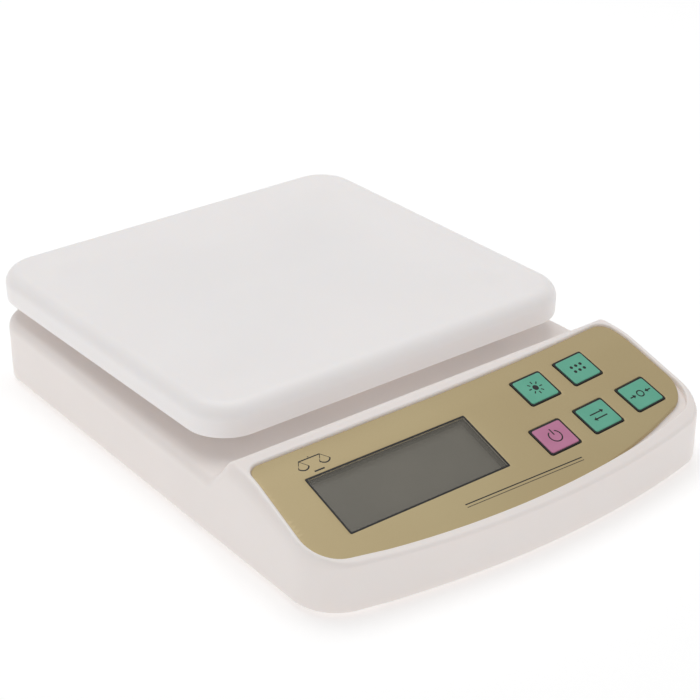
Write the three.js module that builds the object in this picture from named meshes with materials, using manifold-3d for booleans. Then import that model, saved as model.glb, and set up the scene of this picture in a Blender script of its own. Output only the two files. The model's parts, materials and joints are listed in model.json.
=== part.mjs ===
// Compact electronic retail scale: a weighing platform carried by a load cell, in a low housing
// whose front is a sloped panel with a display and five keys.
// Millimetres. +Z is up and -Y is the user's side. The origin is under the middle of the scale,
// on the surface that the feet stand on.
import * as THREE from 'three';
import { mergeVertices } from 'three/addons/utils/BufferGeometryUtils.js';
import Module from 'manifold-3d';

const wasm = await Module();
wasm.setup();

// ---- Driving dimensions ----
const GAP = 0.3; // between neighbouring pieces
const WALL = 2.6; // housing wall and deck

const BODY = {
  bottomZ: 2.0, // lower edge of the housing, the feet stand below it
  backY: 117.9,
  frontY: -119.65, // foremost point of the bowed front
  halfWidth: 89.07, // at Y = 0
  taper: 0.021, // half width gained for each mm towards the user
  bowRadius: 361,
  bowX: 5, // the front's foremost point is a little to the right
  frontRadius: 18,
  backRadius: 18,
};
const FAR_BACK = BODY.backY + 10; // YZ profiles run past the body at both ends
const FAR_FRONT = BODY.frontY - 10;
const HEADROOM = 60; // height of tools that are cut down to a surface
const SHOULDER = { backZ: 26.6, frontZ: 25.0, frontY: -43.5, fillet: 7 }; // the deck around the platform
const PANEL = { frontY: -110.2, frontZ: 19.4, tilt: THREE.MathUtils.degToRad(19) };
const LEVEL = { y: -59.2, z: 35.3, slope: 0.08 }; // nearly level strip at the back of the panel
const BEND_RADIUS = 45; // where the level strip turns into the slope
const RIM = { backY: -53.2, height: 1.0, crown: 4, front: 4.6, lipY: -108, lipSlope: 0.15 };
const RECESS = {
  backY: -58.9,
  depth: 1.5,
  floor: 2.5,
  halfWidth: 82.3,
  taper: 0.066,
  bowX: 0,
  frontRadius: 13,
  backRadius: 6,
};
const OVERLAY_THICKNESS = 1.2;
const PANEL_BACK = -40; // panel profiles start behind the panel
const THROUGH = 12; // reach of tools that cut right through the panel
const SWEEP = { startX: -10, curve: 0.00045 }; // the overlay and keys curve back to the right

const PLATFORM = {
  x: 1.0,
  y: 40.8,
  width: 172,
  depth: 159.8,
  bottomZ: 33.7,
  topZ: 46.3,
  radius: 17.2,
  wall: 2.5,
  rib: { depth: 4, thickness: 1.6 },
};

const CELL = { length: 80, side: 12.7, z: 8.2, hole: 4.5, holeX: 8, slot: 3, boltX: [25, 35] };
const CELL_BOSS = { x0: -44, x1: -16, half: 9 }; // on the base plate, under the cell's fixed end
const CELL_TRAVEL_GAP = 0.5; // the cell's free end bends by less than this
const POST = { x: 30, width: 20, z0: 21.4, z1: 29.7 };
const DECK_HOLE = { width: 23, depth: 16, radius: 3 }; // lets the post through the housing
const SPIDER = { z0: 30, z1: 33, armX: 62, armY: 54, armWidth: 18 };
const SPIDER_HUB = { width: 96, depth: 44, radius: 8 };
const PAD = { radius: 7, z0: SPIDER.z1 + GAP, z1: 37.6, socket: 2.3 };

const BASE = { topZ: 4.4, bossZ: 6.4 };
const FOOT = { x: 68, backY: 84, frontY: -84, radius: 7.5, height: 2.9 };
const BATTERY = { y: -12, length: 56, width: 32, ceiling: 19.4, wall: 4, outerZ: 21 };
const BATTERY_CELL = { z: 11.9, pitch: 15.4 };
const DOOR = {
  length: 60,
  width: 36,
  z0: 2.2,
  z1: 4.0,
  clearance: 0.3,
  tabX: 18,
  tabWidth: 6,
  tabZ: 3.05,
  latchWidth: 14,
};
const CASE_SCREWS = [[-76, 100], [76, 100], [-83, -30], [83, -30], [-83.5, -92], [83.5, -92]];
const CASE_SCREW = { head: [2.8, 1.5], shank: 1.2, length: 11, z: 2.2 };
const CASE_BOSS = { radius: 3.6, pilot: 1.45, counterbore: 3.2 };
const JACK = { x: 55, z: 12, collar: 3.9, bore: 2.8, pin: 0.9, width: 9, height: 11, length: 12 };

const KEY = { width: 15.2, depth: 13.3, radius: 0.9, proud: 0.7, skirt: 4.9, flange: 1.0 };
const KEYS = [
  ['key_power', 24.7, -95.2, 'pink'],
  ['key_mode', 47.3, -95.2, 'green'],
  ['key_tare', 70.4, -95.2, 'green'],
  ['key_light', 34.4, -74.3, 'green'],
  ['key_count', 57.0, -74.3, 'green'],
];
const KEY_TRAVEL_GAP = 0.55; // from a key's flange to its switch's plunger
const LCD = { x: -35.54, y: 26.21, width: 71.1, depth: 27, radius: 0.6, clearance: 0.5 }; // y is up the slope
const LENS = { z0: -1.25, z1: -0.05 };
const DISPLAY = { width: 78, depth: 35, top: -4.3, shelf: -5.3, rim: 0.8, glassTop: -3.0, backlight: -7.8 };
const BOARD = { halfWidth: 76, y0: 2, y1: 44, z: -10, thickness: 1.6 };
const BOARD_SCREWS = [[-66, 5.2], [12, 5.2], [12, 40], [72, 40]];

// ---- Materials ----
function material(color, roughness, metalness = 0) {
  return new THREE.MeshStandardMaterial({ color, roughness, metalness });
}
const MATERIALS = {
  white: material(0xe6e2df, 0.42),
  gold: material(0xb09e76, 0.35, 0.3),
  green: material(0x66b89c, 0.4),
  pink: material(0xd082a8, 0.4),
  lens: material(0x8f9088, 0.1),
  glass: material(0x6e6b62, 0.25),
  diffuser: material(0xe8efe6, 0.5),
  black: material(0x1c1c1e, 0.6),
  rubber: material(0x3a3a3a, 0.9),
  silicone: material(0xe9e6dc, 0.7),
  aluminium: material(0xb8babd, 0.35, 0.9),
  steel: material(0xa8aaac, 0.3, 1),
  board: material(0x2f6b3a, 0.6),
  copper: material(0xc9a24a, 0.3, 1),
  battery: material(0x2d3f66, 0.4),
};

// ---- Solids: three.js geometry in and out of manifold-3d ----
function toSolid(geometry) {
  const bare = geometry.clone();
  bare.deleteAttribute('normal');
  bare.deleteAttribute('uv');
  const merged = mergeVertices(bare, 1e-4);
  return new wasm.Manifold(new wasm.Mesh({
    numProp: 3,
    vertProperties: Float32Array.from(merged.attributes.position.array),
    triVerts: Uint32Array.from(merged.index.array),
  }));
}

function toGeometry(solid) {
  const mesh = solid.getMesh();
  const geometry = new THREE.BufferGeometry();
  geometry.setAttribute('position', new THREE.BufferAttribute(mesh.vertProperties, 3));
  geometry.setIndex(new THREE.BufferAttribute(mesh.triVerts, 1));
  geometry.computeVertexNormals();
  return geometry;
}

function cut(solid, ...tools) {
  return tools.reduce((result, tool) => result.subtract(tool), solid);
}

function join(solid, ...others) {
  return others.reduce((result, other) => result.add(other), solid);
}

// ---- Shapes and simple solids ----
// A closed outline from corners [x, y, radius], each rounded by an arc of its radius.
function filleted(corners, steps = 5) {
  const points = [];
  corners.forEach(([x, y, radius = 0], i) => {
    const here = new THREE.Vector2(x, y);
    if (radius === 0) {
      points.push(here);
      return;
    }
    const [beforeX, beforeY] = corners[(i + corners.length - 1) % corners.length];
    const [afterX, afterY] = corners[(i + 1) % corners.length];
    const back = new THREE.Vector2(beforeX - x, beforeY - y).normalize();
    const ahead = new THREE.Vector2(afterX - x, afterY - y).normalize();
    const half = Math.acos(THREE.MathUtils.clamp(back.dot(ahead), -1, 1)) / 2;
    const bisector = back.clone().add(ahead).normalize();
    const centre = here.clone().addScaledVector(bisector, radius / Math.sin(half));
    const start = here.clone().addScaledVector(back, radius / Math.tan(half)).sub(centre);
    const turn = (Math.PI - 2 * half) * Math.sign(back.cross(ahead)) * -1;
    for (let k = 0; k <= steps; k += 1) {
      const arm = start.clone().rotateAround(new THREE.Vector2(), (turn * k) / steps);
      points.push(arm.add(centre));
    }
  });
  return points;
}

function roundedBox(width, depth, radius, x = 0, y = 0) {
  const w = width / 2;
  const d = depth / 2;
  const corners = [[x - w, y - d], [x + w, y - d], [x + w, y + d], [x - w, y + d]];
  return filleted(corners.map((corner) => [...corner, radius]));
}

// An outline in XY, raised from z0 to z1.
function slab(points, z0, z1) {
  const settings = { depth: z1 - z0, bevelEnabled: false };
  return new THREE.ExtrudeGeometry(new THREE.Shape(points), settings).translate(0, 0, z0);
}

// An outline in YZ, drawn out along X past both sides of the body.
function across(points) {
  const reach = 2 * (BODY.halfWidth + 10);
  const settings = { depth: reach, bevelEnabled: false };
  const geometry = new THREE.ExtrudeGeometry(new THREE.Shape(points), settings);
  const axes = [new THREE.Vector3(0, 1, 0), new THREE.Vector3(0, 0, 1), new THREE.Vector3(1, 0, 0)];
  return toSolid(geometry.applyMatrix4(new THREE.Matrix4().makeBasis(...axes)).translate(-reach / 2, 0, 0));
}

function box(x0, x1, y0, y1, z0, z1) {
  const geometry = new THREE.BoxGeometry(x1 - x0, y1 - y0, z1 - z0);
  return geometry.translate((x0 + x1) / 2, (y0 + y1) / 2, (z0 + z1) / 2);
}

function upright(radius, x, y, z0, z1, sides = 20) {
  const geometry = new THREE.CylinderGeometry(radius, radius, z1 - z0, sides).rotateX(Math.PI / 2);
  return geometry.translate(x, y, (z0 + z1) / 2);
}

// A cylinder along Y, for bores through the load cell and the rear wall.
function barrel(radius, x, z, y0, y1, sides = 20) {
  return new THREE.CylinderGeometry(radius, radius, y1 - y0, sides).translate(x, (y0 + y1) / 2, z);
}

// A turned piece: profile points [radius, height] that start and end on the axis, made about Z.
function turned(profile, sides = 16) {
  const points = profile.map(([radius, height]) => new THREE.Vector2(radius, height));
  return new THREE.LatheGeometry(points, sides).rotateX(Math.PI / 2);
}

function screw(head, shank, length) {
  const [headRadius, headHeight] = head;
  const underHead = [headRadius, headHeight];
  return turned([[0, 0], [headRadius, 0], underHead, [shank, headHeight], [shank, length], [0, length]]);
}

// ---- The tree of parts ----
const group = new THREE.Group();
const panel = new THREE.Group(); // origin on the slope, +Y up the slope, +Z out of it
panel.position.set(0, PANEL.frontY, PANEL.frontZ);
panel.rotation.x = PANEL.tilt;
panel.updateMatrix();
group.add(panel);

function addPart(name, shape, look, parent = group) {
  const geometry = shape.isBufferGeometry ? shape : toGeometry(shape);
  const mesh = new THREE.Mesh(geometry, MATERIALS[look]);
  mesh.name = name;
  parent.add(mesh);
  return mesh;
}

// A tool drawn in the panel's own frame, moved to where the panel is.
function panelTool(geometry) {
  return toSolid(geometry.applyMatrix4(panel.matrix));
}

function up(planY) {
  return (planY - PANEL.frontY) / Math.cos(PANEL.tilt);
}

// ---- Outlines and profiles shared by the housing, base and overlay ----
function sideX(y, { halfWidth, taper }, inset) {
  return halfWidth - taper * y - inset;
}

function sweepY(x) {
  return SWEEP.curve * Math.max(0, x - SWEEP.startX) ** 2;
}

function sweepAngle(x) {
  return Math.atan(2 * SWEEP.curve * Math.max(0, x - SWEEP.startX));
}

// Plan outline with straight tapering sides and a bowed front. sides is BODY or RECESS.
function planOutline(sides, { inset, front, back, frontRadius, backRadius }) {
  const bowY = (x) => front + inset + (x - sides.bowX) ** 2 / (2 * BODY.bowRadius);
  const rightX = sideX(bowY(sides.halfWidth), sides, inset);
  const leftX = -sideX(bowY(-sides.halfWidth), sides, inset);
  const backX = sideX(back, sides, inset);
  const bow = [0.1, 0.2, 0.3, 0.4, 0.5, 0.6, 0.7, 0.8, 0.9].map((part) => leftX + part * (rightX - leftX));
  const rear = [0.75, 0.5, 0.25, 0, -0.75].map((part) => part * backX);
  return filleted([
    [leftX, bowY(leftX), frontRadius - inset],
    ...bow.map((x) => [x, bowY(x)]),
    [rightX, bowY(rightX), frontRadius - inset],
    [backX, back - inset, backRadius - inset],
    ...rear.map((x) => [x, back - inset]),
    [-backX, back - inset, backRadius - inset],
  ]);
}

function bodyOutline(inset) {
  const { frontY: front, backY: back, frontRadius, backRadius } = BODY;
  return planOutline(BODY, { inset, front, back, frontRadius, backRadius });
}

function panelOutline(inset) {
  const front = BODY.frontY + RIM.front;
  const { backY: back, frontRadius, backRadius } = RECESS;
  return planOutline(RECESS, { inset, front, back, frontRadius, backRadius });
}

// The recess and overlay outlines, whose rear edge curves back to the right.
function sweptOutline(inset) {
  return panelOutline(inset).map(({ x, y }) => new THREE.Vector2(x, y > BEND_Y - 10 ? y + sweepY(x) : y));
}

function levelZ(y) {
  return LEVEL.z + LEVEL.slope * (y - LEVEL.y);
}

function slopeZ(y) {
  return PANEL.frontZ + Math.tan(PANEL.tilt) * (y - PANEL.frontY);
}

const BEND_Y = (LEVEL.z - LEVEL.slope * LEVEL.y - PANEL.frontZ + Math.tan(PANEL.tilt) * PANEL.frontY)
  / (Math.tan(PANEL.tilt) - LEVEL.slope);

// The panel surface in YZ from backY to frontY, lifted by some height.
function panelLine(backY, frontY, lift) {
  return [
    [backY, levelZ(backY) + lift],
    [BEND_Y, slopeZ(BEND_Y) + lift, BEND_RADIUS],
    [frontY, slopeZ(frontY) + lift],
  ];
}

// ---- Upper housing ----
function shoulderZ(y) {
  const slope = (SHOULDER.backZ - SHOULDER.frontZ) / (BODY.backY - SHOULDER.frontY);
  return SHOULDER.frontZ + slope * (y - SHOULDER.frontY);
}

function outerProfile() {
  const lipZ = slopeZ(RIM.lipY) + RIM.height;
  return filleted([
    [FAR_BACK, BODY.bottomZ],
    [FAR_BACK, shoulderZ(FAR_BACK)],
    [SHOULDER.frontY, SHOULDER.frontZ, SHOULDER.fillet],
    [RIM.backY, levelZ(RIM.backY) + RIM.height, RIM.crown],
    [BEND_Y, slopeZ(BEND_Y) + RIM.height, BEND_RADIUS],
    [RIM.lipY, lipZ, BEND_RADIUS],
    [FAR_FRONT, lipZ + RIM.lipSlope * (FAR_FRONT - RIM.lipY)],
    [FAR_FRONT, BODY.bottomZ],
  ]);
}

function innerProfile() {
  const underside = -(RECESS.depth + RECESS.floor);
  return filleted([
    [FAR_BACK, BODY.bottomZ - 1],
    [FAR_BACK, shoulderZ(FAR_BACK) - WALL],
    [SHOULDER.frontY - WALL, SHOULDER.frontZ - WALL, 2],
    ...panelLine(RIM.backY - WALL, FAR_FRONT, underside),
    [FAR_FRONT, BODY.bottomZ - 1],
  ]);
}

function keyOutline(margin) {
  return roundedBox(KEY.width + 2 * margin, KEY.depth + 2 * margin, KEY.radius + margin);
}

// Cuts a key's opening right through the panel.
function keyTool(x, planY, margin) {
  const tool = slab(keyOutline(margin), -THROUGH, THROUGH).rotateZ(sweepAngle(x));
  return panelTool(tool.translate(x, up(planY + sweepY(x)), 0));
}

function lcdTool(margin) {
  const outline = roundedBox(LCD.width + 2 * margin, LCD.depth + 2 * margin, LCD.radius, LCD.x, LCD.y);
  return panelTool(slab(outline, -THROUGH, THROUGH));
}

function recessTool() {
  const above = filleted([
    ...panelLine(PANEL_BACK, FAR_FRONT, -RECESS.depth),
    [FAR_FRONT, HEADROOM],
    [PANEL_BACK, HEADROOM],
  ]);
  return toSolid(slab(sweptOutline(0), 0, HEADROOM)).intersect(across(above));
}

function caseBosses() {
  return CASE_SCREWS.map(([x, y]) => {
    const surface = y > SHOULDER.frontY ? shoulderZ(y) : slopeZ(y) - RECESS.depth;
    return toSolid(upright(CASE_BOSS.radius, x, y, BASE.topZ + GAP, surface - 1));
  });
}

function boardBosses() {
  return BOARD_SCREWS.map(([x, y]) => panelTool(upright(2.7, x, y, BOARD.z + GAP, -2.5, 16)));
}

function deckRibs() {
  return [12, 76].map((y) => toSolid(box(-82, 82, y, y + 1.6, 19.2, SHOULDER.frontZ - 1)));
}

function deckHole() {
  const { width, depth, radius } = DECK_HOLE;
  return toSolid(slab(roundedBox(width, depth, radius, POST.x, PLATFORM.y), 15, HEADROOM));
}

function upperHousing() {
  const block = toSolid(slab(bodyOutline(0), BODY.bottomZ, HEADROOM));
  const core = toSolid(slab(bodyOutline(WALL), BODY.bottomZ - 1, HEADROOM));
  const hollow = cut(block.intersect(across(outerProfile())), core.intersect(across(innerProfile())));
  const shell = join(hollow, ...caseBosses(), ...boardBosses(), ...deckRibs());
  return cut(
    shell,
    recessTool(),
    lcdTool(LCD.clearance),
    ...KEYS.map(([, x, y]) => keyTool(x, y, 0.4)),
    ...CASE_SCREWS.map(([x, y]) => toSolid(upright(CASE_BOSS.pilot, x, y, 0, CASE_SCREW.length + 3, 12))),
    ...BOARD_SCREWS.map(([x, y]) => panelTool(upright(1.3, x, y, BOARD.z - 1, -5, 12))),
    deckHole(),
    toSolid(barrel(JACK.collar + 0.4, JACK.x, JACK.z, BODY.backY - 8, BODY.backY + 5)),
  );
}

// ---- Base plate, with the battery box ----
function doorSeat() {
  const { length, width, clearance, z1 } = DOOR;
  const outline = roundedBox(length + 2 * clearance, width + 2 * clearance, 1.6, 0, BATTERY.y);
  return toSolid(slab(outline, 0, z1 + 0.2));
}

// Room for one door tab to go in and tilt.
function tabPocket(x) {
  const edge = BATTERY.y - DOOR.width / 2;
  const half = DOOR.tabWidth / 2 + 0.4;
  return toSolid(box(x - half, x + half, edge - 2.9, edge + 1, DOOR.tabZ - 0.3, DOOR.z1 + 1.9));
}

function latchNotch() {
  const edge = BATTERY.y + DOOR.width / 2;
  const half = DOOR.latchWidth / 2 + 1.4;
  return toSolid(box(-half, half, edge - 1, edge + 2.2, 0, DOOR.z1 + 1));
}

function basePlate() {
  const { y, length, width, wall, ceiling, outerZ } = BATTERY;
  const { y: cellY } = PLATFORM;
  const plate = toSolid(slab(bodyOutline(WALL + GAP), BODY.bottomZ, BASE.topZ));
  const boxOutline = roundedBox(length + 2 * wall, width + 2 * wall, 2, 0, y);
  const boxShell = toSolid(slab(boxOutline, BODY.bottomZ, outerZ));
  const cellBoss = cellBlock(CELL_BOSS.x0, CELL_BOSS.x1, BODY.bottomZ, BASE.bossZ, CELL_BOSS.half);
  const stopBoss = toSolid(upright(6, POST.x, cellY, BODY.bottomZ, BASE.bossZ - 1));
  return cut(
    join(plate, boxShell, cellBoss, stopBoss),
    toSolid(slab(roundedBox(length, width, 1, 0, y), 0, ceiling)),
    doorSeat(),
    latchNotch(),
    ...[-DOOR.tabX, DOOR.tabX].map(tabPocket),
    ...footPlaces().map(([x, fy]) => toSolid(upright(FOOT.radius + GAP, x, fy, 0, FOOT.height + GAP))),
    ...CASE_SCREWS.map(([x, sy]) => toSolid(upright(CASE_BOSS.counterbore, x, sy, 0, 3.8))),
    ...CASE_SCREWS.map(([x, sy]) => toSolid(upright(1.5, x, sy, 0, BASE.topZ + 1, 12))),
    ...CELL.boltX.map((x) => toSolid(upright(3.6, -x, cellY, 0, 4.3))),
    ...CELL.boltX.map((x) => toSolid(upright(2.1, -x, cellY, 0, BASE.bossZ + 1, 12))),
    toSolid(upright(1.6, POST.x, cellY, 3.0, BASE.bossZ + 1, 12)),
  );
}

function footPlaces() {
  return [[-FOOT.x, FOOT.frontY], [FOOT.x, FOOT.frontY], [-FOOT.x, FOOT.backY], [FOOT.x, FOOT.backY]];
}

function foot() {
  const { radius, height } = FOOT;
  return turned([[0, 0], [radius - 0.9, 0], [radius, 0.8], [radius, height], [0, height]], 24);
}

function batteryDoor() {
  const { y } = BATTERY;
  const front = y - DOOR.width / 2;
  const back = y + DOOR.width / 2;
  const plate = toSolid(slab(roundedBox(DOOR.length, DOOR.width, 1.4, 0, y), DOOR.z0, DOOR.z1));
  const tabs = [-DOOR.tabX, DOOR.tabX].map((x) => (
    toSolid(box(x - DOOR.tabWidth / 2, x + DOOR.tabWidth / 2, front - 2.2, front + 1, DOOR.tabZ, DOOR.z1))));
  const half = DOOR.latchWidth / 2;
  const latch = toSolid(box(-half, half, back - 1, back + 1.8, DOOR.z0, DOOR.z1));
  const grips = [11, 8, 5].map((step) => (
    toSolid(box(-8, 8, back - step, back - step + 1.2, DOOR.z0 - 1, DOOR.z0 + 0.5))));
  return cut(join(plate, ...tabs, latch), ...grips);
}

// ---- Batteries and their contacts ----
function batteryCell(direction, y) {
  const can = [[0, -25.2], [6.6, -25.2], [7.2, -24.6], [7.2, 23.6], [6.6, 24.2]];
  const profile = [...can, [2.7, 24.2], [2.7, 25.4], [0, 25.4]];
  return turned(profile, 24).rotateY((direction * Math.PI) / 2).translate(0, y, BATTERY_CELL.z);
}

function contactPlate(x, y0, y1) {
  return toSolid(box(x - 0.25, x + 0.25, y0, y1, 6, 18));
}

function contactCone(x, y, length) {
  const profile = [[0, 0], [4.2, 0], [2.2, length], [0, length]];
  return toSolid(turned(profile).rotateY(Math.PI / 2).translate(x, y, BATTERY_CELL.z));
}

// ---- Load cell and what it is bolted between ----
// A block centred on the cell's line.
function cellBlock(x0, x1, z0, z1, halfDepth = CELL.side / 2) {
  return toSolid(box(x0, x1, PLATFORM.y - halfDepth, PLATFORM.y + halfDepth, z0, z1));
}

function boltHoles(xs, radius, z0, z1) {
  return xs.map((x) => toSolid(upright(radius, x, PLATFORM.y, z0 - 1, z1 + 1, 12)));
}

function loadCell() {
  const { length, side, z, hole, holeX, slot, boltX } = CELL;
  const midZ = z + side / 2;
  const through = side / 2 + 4;
  const bores = [-holeX, holeX].map((x) => (
    toSolid(barrel(hole, x, midZ, PLATFORM.y - through, PLATFORM.y + through, 24))));
  return cut(
    cellBlock(-length / 2, length / 2, z, z + side),
    ...bores,
    cellBlock(-holeX, holeX, midZ - slot / 2, midZ + slot / 2, through),
    ...boltHoles([...boltX, ...boltX.map((x) => -x)], 2.1, z, z + side),
  );
}

function drilledBlock(centreX, width, z0, z1, holeXs) {
  return cut(cellBlock(centreX - width / 2, centreX + width / 2, z0, z1), ...boltHoles(holeXs, 2.2, z0, z1));
}

// ---- Spider and platform ----
function padPlaces() {
  const { armX, armY } = SPIDER;
  return [[-armX, -armY], [armX, -armY], [-armX, armY], [armX, armY]]
    .map(([x, y]) => [PLATFORM.x + x, PLATFORM.y + y]);
}

function spider() {
  const { armX, armY, armWidth, z0, z1 } = SPIDER;
  const { x, y } = PLATFORM;
  const reach = 2 * Math.hypot(armX, armY) + armWidth;
  const angle = Math.atan2(armY, armX);
  const bar = slab(roundedBox(reach, armWidth, armWidth / 2 - 0.1), z0, z1);
  const arm = (turn) => toSolid(bar.clone().rotateZ(turn).translate(x, y, 0));
  const { width, depth, radius } = SPIDER_HUB;
  const hub = toSolid(slab(roundedBox(width, depth, radius, x, y), z0, z1));
  return cut(join(hub, arm(angle), arm(-angle)), ...boltHoles(CELL.boltX, 2.2, z0, z1));
}

function platform() {
  const { width, depth, bottomZ, topZ, radius, wall, rib, x, y } = PLATFORM;
  const ceiling = topZ - wall;
  const half = rib.thickness / 2;
  const outer = toSolid(slab(roundedBox(width, depth, radius, x, y), bottomZ, topZ));
  const innerOutline = roundedBox(width - 2 * wall, depth - 2 * wall, radius - wall, x, y);
  const hollow = toSolid(slab(innerOutline, bottomZ - 1, ceiling));
  const ribX = width / 2 - 1;
  const ribY = depth / 2 - 1;
  const ribs = [
    toSolid(box(x - half, x + half, y - ribY, y + ribY, ceiling - rib.depth, ceiling + 1)),
    toSolid(box(x - ribX, x + ribX, y - half, y + half, ceiling - rib.depth, ceiling + 1)),
  ];
  const sockets = padPlaces().map(([px, py]) => (
    toSolid(upright(PAD.radius + PAD.socket, px, py, PAD.z1 - 2.2, ceiling + 1, 24))));
  const pockets = padPlaces().map(([px, py]) => (
    toSolid(upright(PAD.radius + GAP, px, py, SPIDER.z0, PAD.z1 + GAP, 24))));
  return cut(join(cut(outer, hollow), ...ribs, ...sockets), ...pockets);
}

// ---- Panel pieces ----
function overlay() {
  const top = filleted(panelLine(PANEL_BACK, FAR_FRONT, 0));
  const under = filleted(panelLine(PANEL_BACK, FAR_FRONT, -OVERLAY_THICKNESS)).reverse();
  const sheet = across([...top, ...under]).intersect(toSolid(slab(sweptOutline(GAP), 0, HEADROOM)));
  return cut(sheet, lcdTool(0), ...KEYS.map(([, x, y]) => keyTool(x, y, 0.25)));
}

function keyCap() {
  const cap = toSolid(slab(keyOutline(0), -KEY.skirt, KEY.proud));
  const flange = toSolid(slab(keyOutline(1), -KEY.skirt - KEY.flange, -KEY.skirt));
  return join(cap, flange);
}

function tactSwitch() {
  const plungerZ = -(KEY.skirt + KEY.flange + KEY_TRAVEL_GAP);
  const can = toSolid(box(-3, 3, -3, 3, BOARD.z + 0.1, plungerZ - 1));
  return join(can, toSolid(upright(1.7, 0, 0, plungerZ - 1.1, plungerZ, 12)));
}

function placeOnPanel(mesh, x, planY) {
  mesh.position.set(x, up(planY + sweepY(x)), 0);
  mesh.rotation.z = sweepAngle(x);
}

function addKeys() {
  for (const [name, x, y, look] of KEYS) {
    placeOnPanel(addPart(name, keyCap(), look, panel), x, y);
    placeOnPanel(addPart(name.replace('key', 'switch'), tactSwitch(), 'black', panel), x, y);
  }
}

// A plate behind or in the display window, larger than the window by grow all round.
function windowPlate(grow, z0, z1) {
  const outline = roundedBox(LCD.width + 2 * grow, LCD.depth + 2 * grow, LCD.radius, LCD.x, LCD.y);
  return slab(outline, z0, z1);
}

function displayPlate(inset, z0, z1) {
  const { width, depth } = DISPLAY;
  return slab(roundedBox(width - 2 * inset, depth - 2 * inset, LCD.radius, LCD.x, LCD.y), z0, z1);
}

// Black surround: a tray around the glass, and a collar that lines the window.
function lcdFrame() {
  const { top, shelf, rim } = DISPLAY;
  const tray = toSolid(displayPlate(0, BOARD.z + 0.2, top));
  const collar = toSolid(windowPlate(LCD.clearance - GAP, shelf, LENS.z0 - 0.4));
  const view = toSolid(windowPlate(-rim, -THROUGH, THROUGH));
  return cut(join(tray, collar), toSolid(displayPlate(1.15, -THROUGH, shelf)), view);
}

// Two plates: the front one is smaller and reaches up into the collar.
function lcdGlass() {
  const { shelf, rim, glassTop } = DISPLAY;
  const rear = toSolid(displayPlate(1.5, shelf - 2.2, shelf - 0.2));
  const front = toSolid(windowPlate(-rim - GAP, shelf - 1, glassTop));
  return join(rear, front);
}

function addDisplay() {
  const { backlight } = DISPLAY;
  addPart('lcd_lens', windowPlate(-GAP, LENS.z0, LENS.z1), 'lens', panel);
  addPart('lcd_glass', lcdGlass(), 'glass', panel);
  const lamp = displayPlate(4, backlight - 1.5, backlight).translate(0, 1.6, 0);
  addPart('lcd_backlight', lamp, 'diffuser', panel);
  const strip = box(LCD.x - 35, LCD.x + 35, 11.2, 13.2, BOARD.z + 0.2, backlight);
  addPart('lcd_connector', strip, 'silicone', panel);
  addPart('lcd_frame', lcdFrame(), 'black', panel);
}

function addBoard() {
  const { halfWidth, y0, y1, z, thickness } = BOARD;
  const sheet = toSolid(box(-halfWidth, halfWidth, y0, y1, z - thickness, z));
  const holes = BOARD_SCREWS.map(([x, y]) => toSolid(upright(1.6, x, y, z - thickness - 1, z + 1, 12)));
  addPart('main_board', cut(sheet, ...holes), 'board', panel);
  const chip = turned([[0, 0], [5, 0], [4.4, 0.8], [2.8, 1.4], [0, 1.6]]).rotateX(Math.PI);
  addPart('controller_chip', chip.translate(-10, 26, z - thickness - 0.1), 'black', panel);
  BOARD_SCREWS.forEach(([x, y], i) => {
    const mesh = addPart(`board_screw_${i + 1}`, screw([2.4, 1.4], 1.1, 6.5), 'steel', panel);
    mesh.position.set(x, y, z - thickness - 1.5);
  });
}

// ---- Cables inside the housing ----
function cable(radius, route) {
  const path = new THREE.CatmullRomCurve3(route.map((p) => new THREE.Vector3(...p)));
  const angles = [0, 1, 2, 3, 4, 5, 6, 7].map((k) => (k * Math.PI) / 4);
  const points = angles.map((a) => new THREE.Vector2(radius * Math.cos(a), radius * Math.sin(a)));
  const settings = { extrudePath: path, steps: 20, bevelEnabled: false };
  return new THREE.ExtrudeGeometry(new THREE.Shape(points), settings);
}

// ---- Rear jack for a mains adapter ----
function powerJack() {
  const { x, z, width, height, length } = JACK;
  const inner = BODY.backY - WALL - 0.4;
  const end = inner - length;
  const block = toSolid(box(x - width / 2, x + width / 2, end, inner, z - height / 2, z + height / 2));
  const collar = toSolid(barrel(JACK.collar, x, z, inner - 1, BODY.backY - 0.2));
  const bore = toSolid(barrel(JACK.bore, x, z, end + 3, BODY.backY + 2));
  const pin = toSolid(barrel(JACK.pin, x, z, end + 2.5, inner + 1, 12));
  return join(cut(join(block, collar), bore), pin);
}

// ---- Assembly ----
addPart('upper_housing', upperHousing(), 'white');
addPart('base_plate', basePlate(), 'white');
addPart('weighing_platform', platform(), 'white');
addPart('platform_spider', spider(), 'steel');
padPlaces().forEach(([x, y], i) => {
  const pad = upright(PAD.radius, 0, 0, PAD.z0, PAD.z1, 24);
  addPart(`platform_pad_${i + 1}`, pad, 'rubber').position.set(x, y, 0);
});
footPlaces().forEach(([x, y], i) => {
  addPart(`foot_${i + 1}`, foot(), 'rubber').position.set(x, y, 0);
});

addPart('load_cell', loadCell(), 'aluminium');
const spacer = drilledBlock(-POST.x, POST.width, BASE.bossZ + 0.2, CELL.z - 0.2, CELL.boltX.map((x) => -x));
addPart('cell_base_spacer', spacer, 'steel');
addPart('cell_top_post', drilledBlock(POST.x, POST.width, POST.z0, POST.z1, CELL.boltX), 'aluminium');
const cellTop = CELL.z + CELL.side;
addPart('gauge_cover_top', cellBlock(-14, 14, cellTop + 0.2, cellTop + 1.2, 5.5), 'silicone');
addPart('gauge_cover_bottom', cellBlock(-14, 14, CELL.z - 1.2, CELL.z - 0.2, 5.5), 'silicone');
CELL.boltX.forEach((x, i) => {
  const lower = addPart(`cell_base_screw_${i + 1}`, screw([3.2, 2.0], 1.8, 14), 'steel');
  lower.position.set(-x, PLATFORM.y, 2.1);
  const upper = addPart(`cell_top_screw_${i + 1}`, screw([3.2, 2.0], 1.8, 22).rotateX(Math.PI), 'steel');
  upper.position.set(x, PLATFORM.y, SPIDER.z1 + 2.2);
});
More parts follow.
